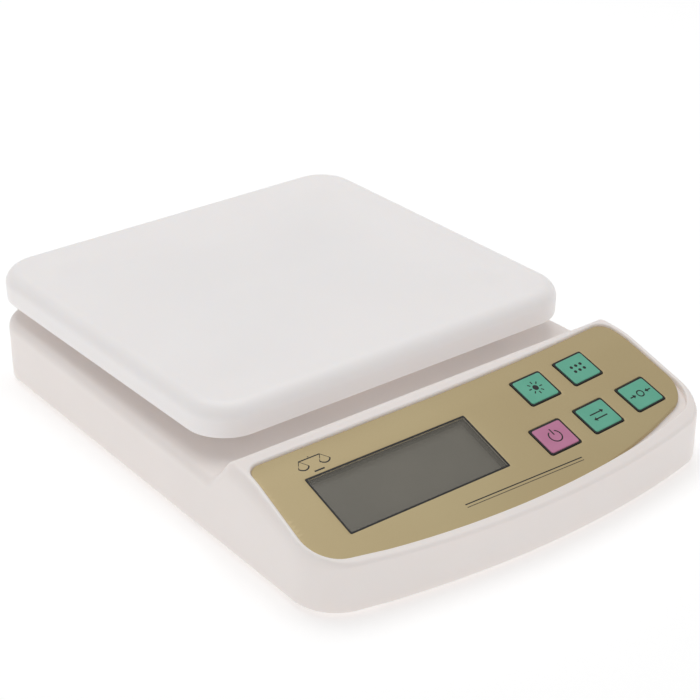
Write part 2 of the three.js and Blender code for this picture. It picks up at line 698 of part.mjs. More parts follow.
const stopScrew = screw([2.6, 1.8], 1.3, 4.4).rotateX(Math.PI);
addPart('overload_stop_screw', stopScrew, 'steel').position.set(POST.x, PLATFORM.y, CELL.z - CELL_TRAVEL_GAP);

addPart('battery_door', batteryDoor(), 'white');
addPart('battery_cell_1', batteryCell(1, BATTERY.y - BATTERY_CELL.pitch / 2), 'battery');
addPart('battery_cell_2', batteryCell(-1, BATTERY.y + BATTERY_CELL.pitch / 2), 'battery');
addPart('contact_bridge', contactPlate(27.5, BATTERY.y - 14, BATTERY.y + 14), 'copper');
addPart('contact_minus', join(contactPlate(-27.5, BATTERY.y - 14, BATTERY.y - 1.5),
  contactCone(-27.4, BATTERY.y - BATTERY_CELL.pitch / 2, 1.9)), 'copper');
addPart('contact_plus', contactPlate(-27.5, BATTERY.y + 1.5, BATTERY.y + 14), 'copper');

addPart('panel_overlay', overlay(), 'gold');
addKeys();
addDisplay();
addBoard();

addPart('cell_cable', cable(1.6, [
  [-20, 30, 14],
  [-30, 24, 9],
  [-44, 8, 7.5],
  [-47, -20, 7.5],
  [-44, -48, 8],
  [-40, -64, 12],
  [-40, -70.5, 19.3],
]), 'black');
addPart('battery_cable', cable(1.2, [
  [-34, -14, 14],
  [-37, -20, 10],
  [-37, -36, 8],
  [-30, -56, 9],
  [-25, -67, 13],
  [-25, -70.5, 19.3],
]), 'black');
addPart('power_jack', powerJack(), 'black');
CASE_SCREWS.forEach(([x, y], i) => {
  const { head, shank, length, z } = CASE_SCREW;
  addPart(`case_screw_${i + 1}`, screw(head, shank, length), 'steel').position.set(x, y, z);
});

export default group;
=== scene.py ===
"""Looks for the compact retail scale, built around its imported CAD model.

Sizes in the mesh code are millimetres and pass through MM on their way into Blender.
+Z is up, -Y is the user's side, and the origin is under the middle of the scale.
"""
import json
import math

import bmesh
import bpy
import numpy as np
from mathutils import Matrix, Vector
from mathutils.geometry import delaunay_2d_cdt


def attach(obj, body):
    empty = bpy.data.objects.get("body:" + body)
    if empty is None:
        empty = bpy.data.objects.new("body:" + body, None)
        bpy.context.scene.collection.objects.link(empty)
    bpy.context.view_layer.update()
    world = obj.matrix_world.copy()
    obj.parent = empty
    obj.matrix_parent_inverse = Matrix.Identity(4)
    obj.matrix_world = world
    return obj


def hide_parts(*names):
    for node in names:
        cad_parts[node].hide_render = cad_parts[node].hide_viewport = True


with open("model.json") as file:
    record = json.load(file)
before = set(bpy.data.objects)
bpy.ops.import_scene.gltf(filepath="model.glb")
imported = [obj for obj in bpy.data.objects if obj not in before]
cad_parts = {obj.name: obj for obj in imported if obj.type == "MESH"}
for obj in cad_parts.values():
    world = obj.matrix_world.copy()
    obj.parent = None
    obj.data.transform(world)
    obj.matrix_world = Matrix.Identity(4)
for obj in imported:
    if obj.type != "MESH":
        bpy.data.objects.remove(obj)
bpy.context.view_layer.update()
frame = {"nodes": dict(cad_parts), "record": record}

MM = 0.001

# ---- Driving dimensions, the same as the CAD model's ----
WALL = 2.6
BODY = {
    "bottom_z": 2.0,
    "back_y": 117.9,
    "front_y": -119.65,
    "half_width": 89.07,
    "taper": 0.021,
    "bow_radius": 361.0,
    "bow_x": 5.0,
    "front_radius": 18.0,
    "back_radius": 18.0,
}
SHOULDER = {"back_z": 26.6, "front_z": 25.0, "front_y": -43.5, "fillet": 7.0}
PANEL = {"front_y": -110.2, "front_z": 19.4, "tilt": math.radians(19)}
LEVEL = {"y": -59.2, "z": 35.3, "slope": 0.08}
BEND_RADIUS = 45.0
RIM = {"back_y": -53.2, "height": 1.0, "crown": 4.0, "front": 4.6, "lip_y": -108.0, "lip_slope": 0.15}
RECESS = {
    "back_y": -58.9,
    "depth": 1.5,
    "floor": 2.5,
    "half_width": 82.3,
    "taper": 0.066,
    "bow_x": 0.0,
    "front_radius": 13.0,
    "back_radius": 6.0,
}
OVERLAY = {"gap": 0.3, "thickness": 1.2}
SWEEP = {"start_x": -10.0, "curve": 0.00045}
PLATFORM = {
    "x": 1.0,
    "y": 40.8,
    "width": 172.0,
    "depth": 159.8,
    "bottom_z": 33.7,
    "top_z": 46.3,
    "radius": 17.2,
    "wall": 2.5,
    "edge": 6.0,
    "draft": 0.2,
}
CELL_BOLTS = (25.0, 35.0)  # distances of the load cell's bolts from its middle
POST = {"x": 30.0, "hole_width": 23.0, "hole_depth": 16.0}
SPIDER = {"top_z": 33.0, "arm_x": 62.0, "arm_y": 54.0}
PAD = {"radius": 7.0, "bottom_z": 33.3, "top_z": 37.6}
FOOT = {"radius": 7.5, "height": 2.9, "places": ((-68, -84), (68, -84), (-68, 84), (68, 84))}
BATTERY = {"y": -12.0, "z": 11.9, "pitch": 15.4}
CASE_SCREWS = ((-76, 100), (76, 100), (-83, -30), (83, -30), (-83.5, -92), (83.5, -92))
KEY = {"width": 15.2, "depth": 13.3, "radius": 0.9, "skirt": 4.9, "flange": 1.0}
ICON_SCALE = 1.25
PAD_ON_KEY = {"border": 0.72, "x": -0.05, "y": -0.12, "height": 0.45, "edge": 0.4}
KEYS = {
    "power": (24.7, -95.2, "pink"),
    "mode": (47.3, -95.2, "green"),
    "tare": (70.4, -95.2, "green"),
    "light": (34.4, -74.3, "green"),
    "count": (57.0, -74.3, "green"),
}
LCD = {"x": -35.54, "y": 26.21, "width": 71.1, "depth": 27.0, "radius": 0.6, "clearance": 0.5}
JACK = {
    "x": 55.0,
    "z": 12.0,
    "collar": 3.9,
    "bore": 2.8,
    "pin": 0.9,
    "width": 9.0,
    "height": 11.0,
    "length": 12.0,
}


# ---- Materials ----
def linear(red, green, blue):
    """Linear colour from 0-255 display values."""
    def channel(value):
        value /= 255
        return value / 12.92 if value <= 0.04045 else ((value + 0.055) / 1.055) ** 2.4
    return (channel(red), channel(green), channel(blue), 1.0)


class Look:
    """A procedural material: a base colour that drifts a little, with grain in roughness and bump."""

    def __init__(self, name, roughness=0.4, metallic=0.0, coat=0.0):
        self.material = bpy.data.materials.new(name)
        self.material.use_nodes = True
        self.nodes = self.material.node_tree.nodes
        self.links = self.material.node_tree.links
        self.shader = self.nodes["Principled BSDF"]
        self.shader.inputs["Metallic"].default_value = metallic
        self.shader.inputs["Roughness"].default_value = roughness
        self.shader.inputs["Coat Weight"].default_value = coat
        self.coordinates = self.nodes.new("ShaderNodeTexCoord").outputs["Object"]

    def noise(self, size_mm, detail=2.0, stretch=(1, 1, 1)):
        """Noise whose features are about size_mm across."""
        mapping = self.nodes.new("ShaderNodeMapping")
        mapping.inputs["Scale"].default_value = [s / (size_mm * MM) for s in stretch]
        texture = self.nodes.new("ShaderNodeTexNoise")
        texture.inputs["Scale"].default_value = 1.0
        texture.inputs["Detail"].default_value = detail
        self.links.new(self.coordinates, mapping.inputs["Vector"])
        self.links.new(mapping.outputs["Vector"], texture.inputs["Vector"])
        return texture.outputs["Fac"]

    def span(self, value, low, high):
        """The middle of a 0-1 noise spread out from low to high."""
        node = self.nodes.new("ShaderNodeMapRange")
        node.inputs["From Min"].default_value = 0.3
        node.inputs["From Max"].default_value = 0.7
        node.inputs["To Min"].default_value = low
        node.inputs["To Max"].default_value = high
        self.links.new(value, node.inputs["Value"])
        return node.outputs["Result"]

    def mix(self, factor, first, second):
        node = self.nodes.new("ShaderNodeMix")
        node.data_type = "RGBA"
        for socket, value in (("A", first), ("B", second)):
            target = [s for s in node.inputs if s.name == socket and s.type == "RGBA"][0]
            if isinstance(value, tuple):
                target.default_value = value
            else:
                self.links.new(value, target)
        self.links.new(factor, node.inputs["Factor"])
        return [s for s in node.outputs if s.type == "RGBA"][0]

    def colour(self, value):
        self.links.new(value, self.shader.inputs["Base Color"])

    def drift(self, first, second, size_mm, detail=2.0, stretch=(1, 1, 1)):
        self.colour(self.mix(self.span(self.noise(size_mm, detail, stretch), 0, 1), first, second))

    def grain(self, size_mm, low, high, stretch=(1, 1, 1)):
        """Roughness that varies from low to high."""
        value = self.span(self.noise(size_mm, 3.0, stretch), low, high)
        self.links.new(value, self.shader.inputs["Roughness"])

    def bump(self, size_mm, depth_mm, strength=0.6, stretch=(1, 1, 1)):
        node = self.nodes.new("ShaderNodeBump")
        node.inputs["Strength"].default_value = strength
        node.inputs["Distance"].default_value = depth_mm * MM
        self.links.new(self.noise(size_mm, 3.0, stretch), node.inputs["Height"])
        self.links.new(node.outputs["Normal"], self.shader.inputs["Normal"])


def moulded(name, colour, shade, roughness=0.4, grain_mm=0.5, depth_mm=0.012):
    """Injection-moulded plastic: fine spark-eroded grain and a slow drift in colour."""
    look = Look(name)
    look.drift(colour, shade, 45)
    look.grain(grain_mm * 4, roughness - 0.05, roughness + 0.06)
    look.bump(grain_mm, depth_mm)
    return look.material


WHITE_PLASTIC = {
    "subsurface": 0.6,
    "depth_mm": 3,
    "reach": (1.0, 0.9, 0.8),  # red, green and blue share of the distance that light travels inside
    # glow and glow_tint are painted light: a faint warm emission on the white plastic that lifts the shade in
    # its gaps
    "glow": 0.095,
    "glow_tint": (1.0, 0.94, 0.89, 1.0),
}


def thin_moulded_with_painted_glow(name, colour, shade, **settings):
    """White moulding whose walls pass a little warm light, with a faint warm emission that is painted light:
    the plastic glows though it is no lamp, which lifts the shade in its gaps and under the platform.
    """
    material = moulded(name, colour, shade, **settings)
    shader = material.node_tree.nodes["Principled BSDF"]
    shader.inputs["Subsurface Weight"].default_value = WHITE_PLASTIC["subsurface"]
    shader.inputs["Subsurface Radius"].default_value = WHITE_PLASTIC["reach"]
    shader.inputs["Subsurface Scale"].default_value = WHITE_PLASTIC["depth_mm"] * MM
    # painted light: the plastic emits a faint warm light that pales its shaded gaps
    shader.inputs["Emission Color"].default_value = WHITE_PLASTIC["glow_tint"]
    shader.inputs["Emission Strength"].default_value = WHITE_PLASTIC["glow"]
    return material


def metal(name, colour, shade, roughness, stretch=(1, 1, 1)):
    look = Look(name, metallic=1.0)
    look.drift(colour, shade, 3, stretch=stretch)
    look.grain(0.8, roughness - 0.08, roughness + 0.1, stretch)
    look.bump(0.5, 0.01, 0.4, stretch)
    return look.material


def gold_film():
    """Satin gold print under a clear hard coat, with the fine sparkle of metallic ink."""
    look = Look("gold_film", metallic=0.25, coat=0.15)
    look.shader.inputs["Coat Roughness"].default_value = 0.35
    ink = look.mix(look.span(look.noise(60), 0, 1), linear(192, 173, 128), linear(187, 166, 121))
    flake = look.span(look.noise(0.12, 1.0), 0, 0.35)
    look.colour(look.mix(flake, ink, linear(202, 187, 146)))
    look.grain(0.4, 0.4, 0.52)
    look.bump(0.6, 0.006, 0.5)
    return look.material


def key_film(name, colour, shade):
    """Coloured satin film over a raised key, a little darker where thumbs have rubbed it."""
    look = Look(name, coat=0.1)
    look.shader.inputs["Coat Roughness"].default_value = 0.3
    look.drift(colour, shade, 6)
    look.grain(1.5, 0.33, 0.45)
    look.bump(0.35, 0.008, 0.5)
    return look.material


def display_glass():
    """Grey-green reflective display behind a polariser, slightly uneven."""
    look = Look("display_glass", coat=0.3)
    look.shader.inputs["Coat Roughness"].default_value = 0.12
    look.drift(linear(126, 123, 113), linear(116, 114, 105), 30)
    look.grain(3, 0.3, 0.38)
    look.bump(0.3, 0.004, 0.4)
    return look.material


def clear_window():
    """Clear window: most of it shows what is behind. Its pale grey colour, at 30 per cent cover, is painted
    light that lifts the shade along the window's deep inner walls.
    """
    look = Look("clear_window")
    # painted light: this partial cover of pale grey paints over the shade inside the window
    look.shader.inputs["Alpha"].default_value = 0.3
    look.shader.inputs["IOR"].default_value = 1.49
    look.drift(linear(158, 153, 142), linear(150, 146, 136), 25)
    look.grain(4, 0.06, 0.12)
    look.bump(2.5, 0.003, 0.3)
    return look.material


def circuit_board():
    look = Look("circuit_board")
    tracks = look.span(look.noise(1.6, 0.0, (1, 4, 1)), 0, 1)
    look.colour(look.mix(tracks, linear(40, 98, 52), linear(58, 122, 66)))
    look.grain(1.2, 0.35, 0.5)
    look.bump(1.6, 0.03, 0.6, (1, 4, 1))
    return look.material


MATERIALS = {
    "housing_white": thin_moulded_with_painted_glow(
        "housing_white", linear(239, 232, 229), linear(236, 229, 226), roughness=0.38),
    "platform_white": thin_moulded_with_painted_glow(
        "platform_white", linear(244, 241, 241), linear(242, 239, 239), roughness=0.4, grain_mm=0.7),
    "overlay_gold": gold_film(),
    "key_green": key_film("key_green", linear(105, 187, 159), linear(98, 181, 153)),
    "key_pink": key_film("key_pink", linear(205, 130, 166), linear(199, 124, 160)),
    "black_plastic": moulded("black_plastic", linear(19, 17, 17), linear(15, 14, 14), 0.5),
    "rubber_dark": moulded("rubber_dark", linear(70, 69, 68), linear(58, 57, 57), 0.75, 0.8, 0.03),
    "zinc_steel": metal("zinc_steel", linear(186, 188, 190), linear(168, 171, 175), 0.34),
    "aluminium_bar": metal("aluminium_bar", linear(204, 206, 209), linear(188, 190, 194), 0.34, (1, 9, 9)),
    "silicone_white": moulded(
        "silicone_white", linear(233, 230, 221), linear(224, 221, 212), 0.65, 1.5, 0.05),
    "lens_clear": clear_window(),
    "lcd_grey": display_glass(),
    "diffuser_white": moulded("diffuser_white", linear(226, 234, 224), linear(219, 228, 217), 0.5),
    "board_green": circuit_board(),
    "contact_metal": metal("contact_metal", linear(205, 196, 176), linear(190, 180, 158), 0.3),
    "battery_sleeve": moulded("battery_sleeve", linear(52, 74, 118), linear(44, 66, 108), 0.3, 2.0, 0.01),
}


# ---- Outlines and profiles ----
def filleted(corners, steps):
    """Points of a closed outline whose corners (x, y, radius) are rounded by arcs."""
    points = []
    count = len(corners)
    for i, (x, y, radius) in enumerate(corners):
        here = Vector((x, y))
        if radius <= 0:
            points.append(tuple(here))
            continue
        back = (Vector(corners[i - 1][:2]) - here).normalized()
        ahead = (Vector(corners[(i + 1) % count][:2]) - here).normalized()
        half = math.acos(max(-1.0, min(1.0, back.dot(ahead)))) / 2
        centre = here + (back + ahead).normalized() * (radius / math.sin(half))
        start = here + back * (radius / math.tan(half)) - centre
        turn = (math.pi - 2 * half) * (-1 if back.x * ahead.y - back.y * ahead.x > 0 else 1)
        for k in range(steps + 1):
            arm = start.copy()
            arm.rotate(Matrix.Rotation(turn * k / steps, 2))
            points.append(tuple(centre + arm))
    return points


def rounded_box(width, depth, radius, x=0.0, y=0.0, steps=8, side_points=1):
    w, d = width / 2, depth / 2
    corners = [(x - w, y - d, radius), (x + w, y - d, radius), (x + w, y + d, radius), (x - w, y + d, radius)]
    return divided(filleted(corners, steps), steps + 1, side_points)


def divided(points, group, parts):
    """Splits the straight run after each group of arc points into equal parts."""
    result = []
    for i, (x, y) in enumerate(points):
        result.append((x, y))
        if i % group == group - 1:
            to_x, to_y = points[(i + 1) % len(points)]
            result += [(x + (to_x - x) * k / parts, y + (to_y - y) * k / parts) for k in range(1, parts)]
    return np.array(result)


def profile(corners, steps=14):
    """Height as a function of Y, from corners (y, z, radius)."""
    points = np.array(sorted(filleted(corners, steps)))
    return lambda y: np.interp(y, points[:, 0], points[:, 1])


def smooth(value, low, high):
    t = np.clip((np.asarray(value, float) - low) / (high - low), 0, 1)
    return t * t * (3 - 2 * t)


def side_x(y, inset, sides=BODY):
    return sides["half_width"] - sides["taper"] * y - inset


def sweep(x):
    return SWEEP["curve"] * np.maximum(0, np.asarray(x, float) - SWEEP["start_x"]) ** 2


def sweep_angle(x):
    return math.atan(2 * SWEEP["curve"] * max(0.0, x - SWEEP["start_x"]))


# Where the long sides get their points, as shares of the run from front to back.
# They lie closest together at the rim's rear edge.
SIDE_FRONT_Y, SIDE_BACK_Y = -98, 100
SIDE_Y = [*np.arange(-96, -70, 1.5), *np.arange(-70, -38, 0.7), *np.arange(-38, 98, 3)]
SIDE_SHARES = [(y - SIDE_FRONT_Y) / (SIDE_BACK_Y - SIDE_FRONT_Y) for y in SIDE_Y]


def plan_outline(sides, inset, front, back, steps=14):
    """Plan outline with straight tapering sides, a bowed front and rounded corners."""
    def bow(x):
        return front + inset + (x - sides["bow_x"]) ** 2 / (2 * BODY["bow_radius"])
    right = side_x(bow(sides["half_width"]), inset, sides)
    left = -side_x(bow(-sides["half_width"]), inset, sides)
    back_x = side_x(back, inset, sides)
    front_radius, back_radius = sides["front_radius"] - inset, sides["back_radius"] - inset
    shares = np.linspace(0.14, 0.86, 41)
    corners = [(left, bow(left), front_radius)]
    corners += [(x, bow(x), 0) for x in left + shares * (right - left)]
    corners += [(right, bow(right), front_radius), (back_x, back - inset, back_radius)]
    corners += [(x, back - inset, 0) for x in back_x - shares * 2 * back_x]
    corners += [(-back_x, back - inset, back_radius)]
    points = filleted(corners, steps)
    right_start = 2 * (steps + 1) + len(shares) - 1
    result = []
    for i, point in enumerate(points):
        result.append(point)
        if i == right_start:
            result += between(point, points[i + 1], SIDE_SHARES)
        if i == len(points) - 1:
            result += between(point, points[0], [1 - s for s in reversed(SIDE_SHARES)])
    return np.array(result)


def between(start, end, shares):
    return [(start[0] + (end[0] - start[0]) * s, start[1] + (end[1] - start[1]) * s) for s in shares]


def body_outline(inset):
    return plan_outline(BODY, inset, BODY["front_y"], BODY["back_y"])


def panel_outline(inset):
    return plan_outline(RECESS, inset, BODY["front_y"] + RIM["front"], RECESS["back_y"])


def level_z(y):
    return LEVEL["z"] + LEVEL["slope"] * (y - LEVEL["y"])


def slope_z(y):
    return PANEL["front_z"] + math.tan(PANEL["tilt"]) * (y - PANEL["front_y"])


def shoulder_z(y):
    slope = (SHOULDER["back_z"] - SHOULDER["front_z"]) / (BODY["back_y"] - SHOULDER["front_y"])
    return SHOULDER["front_z"] + slope * (y - SHOULDER["front_y"])


BEND_Y = (LEVEL["z"] - LEVEL["slope"] * LEVEL["y"] - slope_z(0)) / (math.tan(PANEL["tilt"]) - LEVEL["slope"])
FAR_BACK = BODY["back_y"] + 10
FAR_FRONT = BODY["front_y"] - 10
LIP_Z = slope_z(RIM["lip_y"]) + RIM["height"]

top_z = profile([
    (FAR_BACK, shoulder_z(FAR_BACK), 0),
    (SHOULDER["front_y"], SHOULDER["front_z"], SHOULDER["fillet"]),
    (RIM["back_y"], level_z(RIM["back_y"]) + RIM["height"], RIM["crown"]),
    (BEND_Y, slope_z(BEND_Y) + RIM["height"], BEND_RADIUS),
    (RIM["lip_y"], LIP_Z, BEND_RADIUS),
    (FAR_FRONT, LIP_Z + RIM["lip_slope"] * (FAR_FRONT - RIM["lip_y"]), 0),
])
panel_z = profile([
    (-40, level_z(-40), 0),
    (BEND_Y, slope_z(BEND_Y), BEND_RADIUS),
    (FAR_FRONT, slope_z(FAR_FRONT), 0),
])
UNDERSIDE = RECESS["depth"] + RECESS["floor"]
inner_z = profile([
    (FAR_BACK, shoulder_z(FAR_BACK) - WALL, 0),
    (SHOULDER["front_y"] - WALL, SHOULDER["front_z"] - WALL, 2),
    (RIM["back_y"] - WALL, level_z(RIM["back_y"] - WALL) - UNDERSIDE, 2),
    (BEND_Y, slope_z(BEND_Y) - UNDERSIDE, BEND_RADIUS),
    (FAR_FRONT, slope_z(FAR_FRONT) - UNDERSIDE, 0),
])


def up(plan_y):
    """How far up the slope a plan Y is."""
    return (plan_y - PANEL["front_y"]) / math.cos(PANEL["tilt"])


SLOPE_FOOT = Matrix.Translation((0, PANEL["front_y"], PANEL["front_z"]))
PANEL_FRAME = SLOPE_FOOT @ Matrix.Rotation(PANEL["tilt"], 4, "X")


def key_frame(x, plan_y):
    place = Matrix.Translation((x, up(plan_y + float(sweep(x))), 0))
    return PANEL_FRAME @ place @ Matrix.Rotation(sweep_angle(x), 4, "Z")


# ---- Meshes ----
def inside(points, polygon):
    """Which of the points lie inside the closed polygon."""
    x, y = points[:, :1], points[:, 1:]
    px, py = polygon[:, 0], polygon[:, 1]
    qx, qy = np.roll(px, -1), np.roll(py, -1)
    crosses = (py > y) != (qy > y)
    at = px + (y - py) * (qx - px) / np.where(qy == py, 1, qy - py)
    return (crosses & (x < at)).sum(axis=1) % 2 == 1


class Skin:
    """A mesh made from closed rings of points, in millimetres."""

    def __init__(self):
        self.points = []
        self.faces = []

    def ring(self, plan, heights):
        """Adds a closed ring: plan points with one height each, or one for all."""
        first = len(self.points)
        heights = np.broadcast_to(heights, len(plan))
        self.points += [(x, y, z) for (x, y), z in zip(plan, heights)]
        return list(range(first, len(self.points)))

    def bridge(self, *rings):
        """Joins each ring to the next with four-sided faces."""
        for lower, upper in zip(rings, rings[1:]):
            count = len(lower)
            for i in range(count):
                j = (i + 1) % count
                self.faces.append((lower[i], lower[j], upper[j], upper[i]))

    def fill(self, rings, height, spacing):
        """Fills between an outer ring and the holes in it, at the height that the function gives."""
        loops = [np.array([self.points[i][:2] for i in ring]) for ring in rings]
        low, high = loops[0].min(axis=0), loops[0].max(axis=0)
        grid = [np.arange(a + spacing / 2, b, spacing) for a, b in zip(low, high)]
        inner = np.array(np.meshgrid(*grid)).reshape(2, -1).T
        keep = inside(inner, loops[0])
        for hole in loops[1:]:
            keep &= ~inside(inner, hole)
        edge = np.concatenate(loops)
        distance = np.sqrt(((inner[:, None] - edge[None]) ** 2).sum(axis=2)).min(axis=1)
        inner = inner[keep & (distance > spacing * 0.5)]
        first = len(self.points)
        self.points += [(x, y, float(height(y))) for x, y in inner]
        index = [i for ring in rings for i in ring] + list(range(first, len(self.points)))
        edges, start = [], 0
        for loop in loops:
            count = len(loop)
            edges += [(start + i, start + (i + 1) % count) for i in range(count)]
            start += count
        plan = [Vector(p) for p in np.concatenate([edge, inner])]
        places, _, faces, sources, _, _ = delaunay_2d_cdt(plan, edges, [], 0, 1e-6)
        borders = set()
        output = {source[0]: i for i, source in enumerate(sources) if source}
        for a, b in edges:
            borders.add(frozenset((output[a], output[b])))
        for region in regions(faces, borders):
            largest = max(region, key=lambda face: triangle_area(*[places[i] for i in face]))
            if triangle_area(*[places[i] for i in largest]) < SLIVER:
                continue
            centre = np.mean([places[i] for i in largest], axis=0)[None]
            if inside(centre, loops[0])[0] and not any(inside(centre, hole)[0] for hole in loops[1:]):
                self.faces += [tuple(index[sources[i][0]] for i in face) for face in region]


SLIVER = 1e-3  # square millimetres; smaller regions are rounding errors along straight edges


def triangle_area(a, b, c):
    return abs((b.x - a.x) * (c.y - a.y) - (b.y - a.y) * (c.x - a.x)) / 2


def regions(faces, borders):
    """Groups of triangles that reach each other without crossing a border edge."""
    neighbours = {}
    for number, face in enumerate(faces):
        for a, b in zip(face, [*face[1:], face[0]]):
            edge = frozenset((a, b))
            if edge not in borders:
                neighbours.setdefault(edge, []).append(number)
    links = {}
    for pair in neighbours.values():
        for number in pair:
            links.setdefault(number, set()).update(pair)
    seen, groups = set(), []
    for start in range(len(faces)):
        if start in seen:
            continue
        group, waiting = [], [start]
        seen.add(start)
        while waiting:
            number = waiting.pop()
            group.append(faces[number])
            for other in links.get(number, ()):
                if other not in seen:
                    seen.add(other)
                    waiting.append(other)
        groups.append(group)
    return groups


def tidy_mesh(mesh):
    """Merges doubled points and turns every face outwards."""
    work = bmesh.new()
    work.from_mesh(mesh)
    bmesh.ops.remove_doubles(work, verts=work.verts, dist=1e-6)
    bmesh.ops.recalc_face_normals(work, faces=work.faces)
    work.to_mesh(mesh)
    work.free()


def mesh_object(name, skin, place=None):
    mesh = bpy.data.meshes.new(name)
    mesh.from_pydata([tuple(c * MM for c in p) for p in skin.points], [], skin.faces)
    if place is not None:
        scaled = place.copy()
        scaled.translation = place.translation * MM
        mesh.transform(scaled)
    tidy_mesh(mesh)
    piece = bpy.data.objects.new(name, mesh)
    bpy.context.scene.collection.objects.link(piece)
    return piece


def boolean(piece, tools, operation):
    """Cuts or joins the tools, which are used up."""
    for tool in tools:
        modifier = piece.modifiers.new("boolean", "BOOLEAN")
        modifier.operation = operation
        modifier.solver = "MANIFOLD"
        modifier.object = tool
    bpy.context.view_layer.update()
    graph = bpy.context.evaluated_depsgraph_get()
    result = bpy.data.meshes.new_from_object(piece.evaluated_get(graph))
    piece.modifiers.clear()
    piece.data = result
    for tool in tools:
        bpy.data.objects.remove(tool)
    return piece


def prism(name, outline, z0, z1, place=None):
    skin = Skin()
    lower, upper = skin.ring(outline, z0), skin.ring(outline, z1)
    skin.bridge(lower, upper)
    skin.faces += [tuple(lower), tuple(upper)]
    return mesh_object(name, skin, place)


def soft_prism(name, outline, outline_in, z0, z1, radius, place=None, lower_radius=0.0, steps=4):
    """An upright prism with rounded edges. outline_in is the outline one millimetre further in."""
    outline = np.array(outline)
    inward = np.array(outline_in) - outline
    skin = Skin()
    rings = []
    if lower_radius > 0:
        for k in range(steps + 1):
            angle = math.pi / 2 * k / steps
            shift = lower_radius * (1 - math.sin(angle))
            rings.append(skin.ring(outline + inward * shift, z0 + lower_radius * (1 - math.cos(angle))))
    else:
        rings.append(skin.ring(outline, z0))
    for k in range(steps + 1):
        angle = math.pi / 2 * k / steps
        shift = radius * (1 - math.cos(angle))
        rings.append(skin.ring(outline + inward * shift, z1 - radius * (1 - math.sin(angle))))
    skin.bridge(*rings)
    skin.faces += [tuple(rings[0]), tuple(rings[-1])]
    return mesh_object(name, skin, place)


def circle(radius, x=0.0, y=0.0, sides=48):
    angles = np.linspace(0, 2 * math.pi, sides, endpoint=False)
    return np.stack([x + radius * np.cos(angles), y + radius * np.sin(angles)], axis=1)


def turned(name, profile_points, place=None, sides=48):
    """A solid of revolution about Z from (radius, z) points that start and end on the axis."""
    skin = Skin()
    rings = [skin.ring(circle(radius, sides=sides), z) for radius, z in profile_points if radius > 0]
    skin.bridge(*rings)
    skin.faces += [tuple(rings[0]), tuple(rings[-1])]
    return mesh_object(name, skin, place)


def finish_piece(piece, body, slot, replaces=(), sharp=0.6):
    """Shades a piece, gives it its material and hangs it on its body."""
    for polygon in piece.data.polygons:
        polygon.use_smooth = True
    piece.data.set_sharp_from_angle(angle=sharp)
    weighted = piece.modifiers.new("weighted_normals", "WEIGHTED_NORMAL")
    weighted.keep_sharp = True
    piece.data.materials.clear()
    piece.data.materials.append(MATERIALS[slot])
    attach(piece, body)
    if replaces:
        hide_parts(*replaces)
    return piece


# ---- Housing ----
def edge_rounding(points):
    """Width and drop of the rounded upper edge: soft on the shoulder and sides, crisp along the front lip."""
    y = points[:, 1]
    rim_width = side_x(y, 0) - side_x(y, 0, RECESS)
    beside_panel = smooth(y, -112, -97)
    shoulder = smooth(y, -56, -42)
    width = 1.4 + (rim_width - 2.5) * beside_panel
    drop = 1.4 + 5.2 * beside_panel
    return width + (3.4 - width) * shoulder, drop + (3.8 - drop) * shoulder


def housing_skin():
    skin = Skin()
    plan = body_outline(0)
    inward = body_outline(1) - plan
    width, drop = edge_rounding(plan)
    bottom = BODY["bottom_z"]
    rings = []
    for inset, rise in ((0.5, 0), (0.15, 0.15), (0, 0.5)):
        rings.append(skin.ring(plan + inward * inset, bottom + rise))
    steps = 9
    for k in range(steps + 1):
        angle = math.pi / 2 * k / steps
        place = plan + inward * (width * (1 - math.cos(angle)))[:, None]
        rings.append(skin.ring(place, top_z(place[:, 1]) - drop * (1 - math.sin(angle))))
    skin.bridge(*rings)
    return skin, plan, inward, rings


def swept_recess(inset):
    """The recess outline: its rear edge curves back towards the right."""
    plan = panel_outline(inset)
    plan[:, 1] += sweep(plan[:, 0]) * smooth(plan[:, 1], -100, -62)
    return plan


def recess_rings(skin):
    floor = RECESS["depth"]
    edge = 0.7
    rings = []
    for k in range(4):
        angle = math.pi / 2 * k / 3
        plan = swept_recess(-edge * (1 - math.sin(angle)))
        rings.append(skin.ring(plan, top_z(plan[:, 1]) - edge * (1 - math.cos(angle))))
    for inset, rise in ((0, 0.35), (0.1, 0.1), (0.35, 0)):
        plan = swept_recess(inset)
        rings.append(skin.ring(plan, panel_z(plan[:, 1]) - floor + rise))
    return rings


def lcd_prism(name, margin, z0, z1):
    return prism(name, lcd_outline(-margin), z0, z1, PANEL_FRAME)


def key_prism(name, key, margin, z0, z1):
    x, y, _ = KEYS[key]
    outline = rounded_box(KEY["width"] + 2 * margin, KEY["depth"] + 2 * margin, KEY["radius"] + margin)
    return prism(name, outline, z0, z1, key_frame(x, y))


def jack_frame():
    """Local Z runs out of the rear wall at the socket."""
    return Matrix.Translation((JACK["x"], BODY["back_y"], JACK["z"])) @ Matrix.Rotation(-math.pi / 2, 4, "X")


def housing():
    skin, plan, inward, outer = housing_skin()
    recess = recess_rings(skin)
    skin.bridge(*recess)
    skin.fill([outer[-1], recess[0]], top_z, 2.2)
    skin.fill([recess[-1]], lambda y: panel_z(y) - RECESS["depth"], 2.2)
    inner_plan = plan + inward * WALL
    foot_ring = skin.ring(inner_plan, BODY["bottom_z"])
    inner_top = skin.ring(inner_plan, inner_z(inner_plan[:, 1]))
    skin.bridge(outer[0], foot_ring, inner_top)
    skin.fill([inner_top], inner_z, 4.0)
    piece = mesh_object("housing_shell", skin)
    post_hole = rounded_box(POST["hole_width"], POST["hole_depth"], 3, POST["x"], PLATFORM["y"])
    tools = [
        lcd_prism("window", LCD["clearance"], -12, 4),
        prism("post_hole", post_hole, 15, 40),
        prism("jack_hole", circle(JACK["collar"] + 0.4), -8, 5, jack_frame()),
    ]
    tools += [key_prism("key_hole", key, 0.4, -12, 5) for key in KEYS]
    boolean(piece, tools, "DIFFERENCE")
    return finish_piece(piece, "case", "housing_white", ["upper_housing"])


